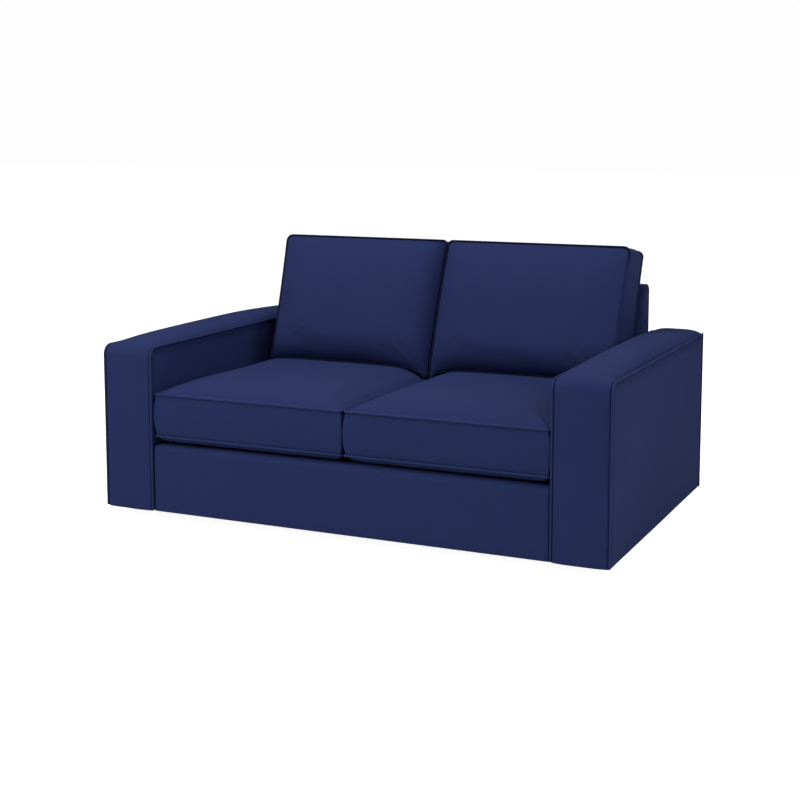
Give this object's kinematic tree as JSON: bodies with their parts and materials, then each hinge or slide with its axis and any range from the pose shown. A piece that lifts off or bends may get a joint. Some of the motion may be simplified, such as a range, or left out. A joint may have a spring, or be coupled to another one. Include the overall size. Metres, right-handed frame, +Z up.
{
  "type": "fitted two-seat sofa slipcover set",
  "caption": "Plain navy fitted sofa slipcover in the shape it takes on its frame, with piped arm covers, a seat and back cover, and boxed, piped seat and back cushions.",
  "frame": {"origin": "underside of the back cover's top panel, at the middle of its length and width, where it hangs on the sofa's back", "axes": "+X to the right across both arms as seen from the front, +Y back from the arm fronts, +Z up"},
  "size_m": [1.6626, 1.0425, 0.8197],
  "materials": {
    "cover_cloth": "matte",
    "cushion_cloth": "matte",
    "piping": "matte"
  },
  "bodies": {
    "root": {"arm_strip_left": "cover_cloth", "arm_strip_right": "cover_cloth", "arm_outer_left": "cover_cloth", "arm_outer_right": "cover_cloth", "arm_inner_left": "cover_cloth", "arm_inner_right": "cover_cloth", "arm_rear_left": "cover_cloth", "arm_rear_right": "cover_cloth", "arm_piping_outer_left": "piping", "arm_piping_outer_right": "piping", "arm_piping_inner_left": "piping", "arm_piping_inner_right": "piping", "base_front": "cover_cloth", "seat_deck": "cover_cloth", "back_inside": "cover_cloth", "back_top": "cover_cloth", "back_end_left": "cover_cloth", "back_end_right": "cover_cloth", "back_outside": "cover_cloth", "seat_cushion_left": "cushion_cloth", "seat_cushion_right": "cushion_cloth", "seat_piping_top_left": "piping", "seat_piping_top_right": "piping", "seat_piping_bottom_left": "piping", "seat_piping_bottom_right": "piping", "back_cushion_left": "cushion_cloth", "back_cushion_right": "cushion_cloth", "back_piping_front_left": "piping", "back_piping_front_right": "piping", "back_piping_rear_left": "piping", "back_piping_rear_right": "piping"}
  },
  "joints": []
}
